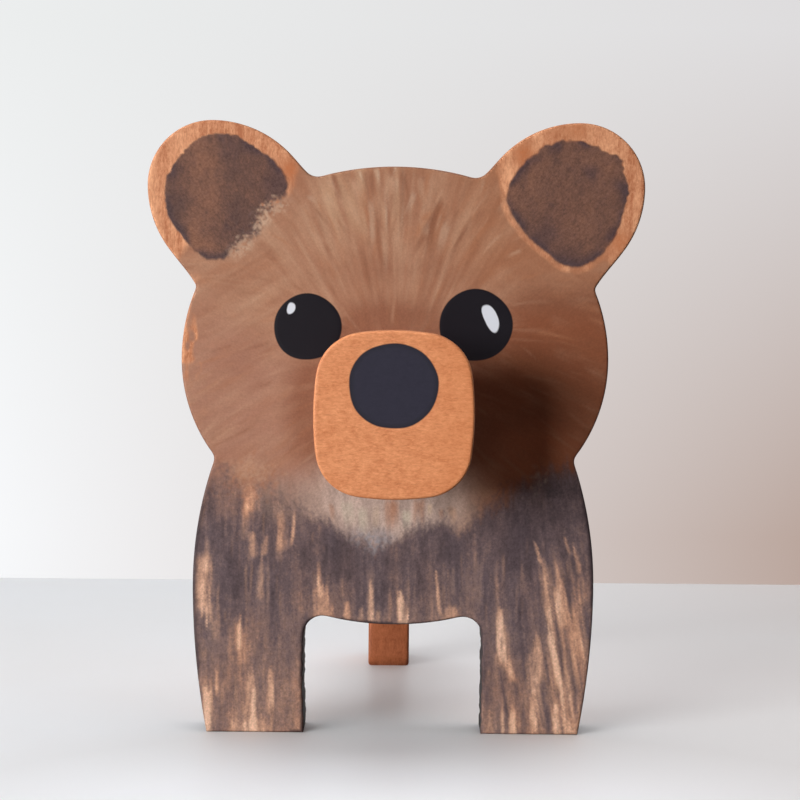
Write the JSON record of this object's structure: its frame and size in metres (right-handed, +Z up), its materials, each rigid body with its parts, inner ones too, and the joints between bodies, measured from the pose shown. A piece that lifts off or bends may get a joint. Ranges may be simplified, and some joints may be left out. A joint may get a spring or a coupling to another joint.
{
  "type": "eyeglasses display stand",
  "caption": "Wooden bear-shaped stand that holds one pair of eyeglasses: the bridge rests on a short round neck behind the muzzle plate, in front of a flat painted board.",
  "frame": {"origin": "on the resting surface, below the middle of the stand's outer box", "axes": "+Z up, -Y towards the viewer (the face of the muzzle), +X to the viewer's right"},
  "size_m": [0.0968, 0.114, 0.12],
  "materials": {
    "painted_wood": "hand-painted, matt",
    "stained_wood": "stained, satin",
    "leg_wood": "stained darker, satin",
    "screw_steel": "zinc plated",
    "dowel_wood": "plain beech"
  },
  "bodies": {
    "root": {"front_board": "painted_wood", "muzzle_plate": "stained_wood", "muzzle_neck": "stained_wood", "muzzle_screw": "screw_steel", "rear_leg": "leg_wood", "upper_leg_dowel": "dowel_wood", "lower_leg_dowel": "dowel_wood"}
  },
  "joints": []
}
